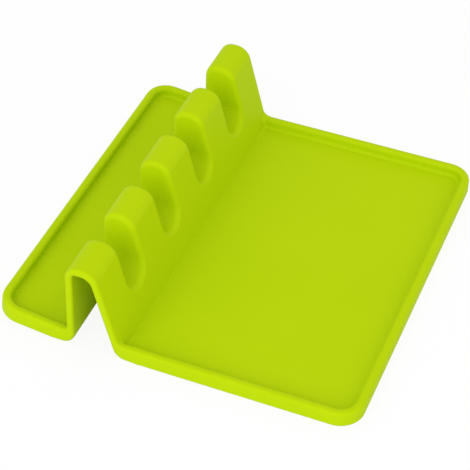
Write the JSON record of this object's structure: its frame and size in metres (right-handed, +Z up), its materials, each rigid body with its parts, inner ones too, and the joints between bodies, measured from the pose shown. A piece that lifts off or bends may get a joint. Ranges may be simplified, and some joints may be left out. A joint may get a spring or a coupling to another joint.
{
  "type": "spoon rest",
  "caption": "Soft one-piece spoon rest: a hollow notched ridge that holds utensil handles stands between a wide rimmed drip tray and a narrow rimmed rear tray.",
  "frame": {"origin": "on the table, under the middle of the part's box", "axes": "+Z up, +Y along the ridge, +X from the ridge across the drip tray"},
  "size_m": [0.18, 0.188, 0.049],
  "materials": {
    "silicone": "satin, lime green moulded silicone"
  },
  "bodies": {
    "root": {"drip_tray_floor": "silicone", "drip_tray_rim": "silicone", "rear_tray_floor": "silicone", "rear_tray_rim": "silicone", "ridge_front_wall": "silicone", "ridge_rear_wall": "silicone", "post_1": "silicone", "post_2": "silicone", "post_3": "silicone", "post_4": "silicone", "post_5": "silicone", "notch_saddle_1": "silicone", "notch_saddle_2": "silicone", "notch_saddle_3": "silicone", "notch_saddle_4": "silicone"}
  },
  "joints": []
}
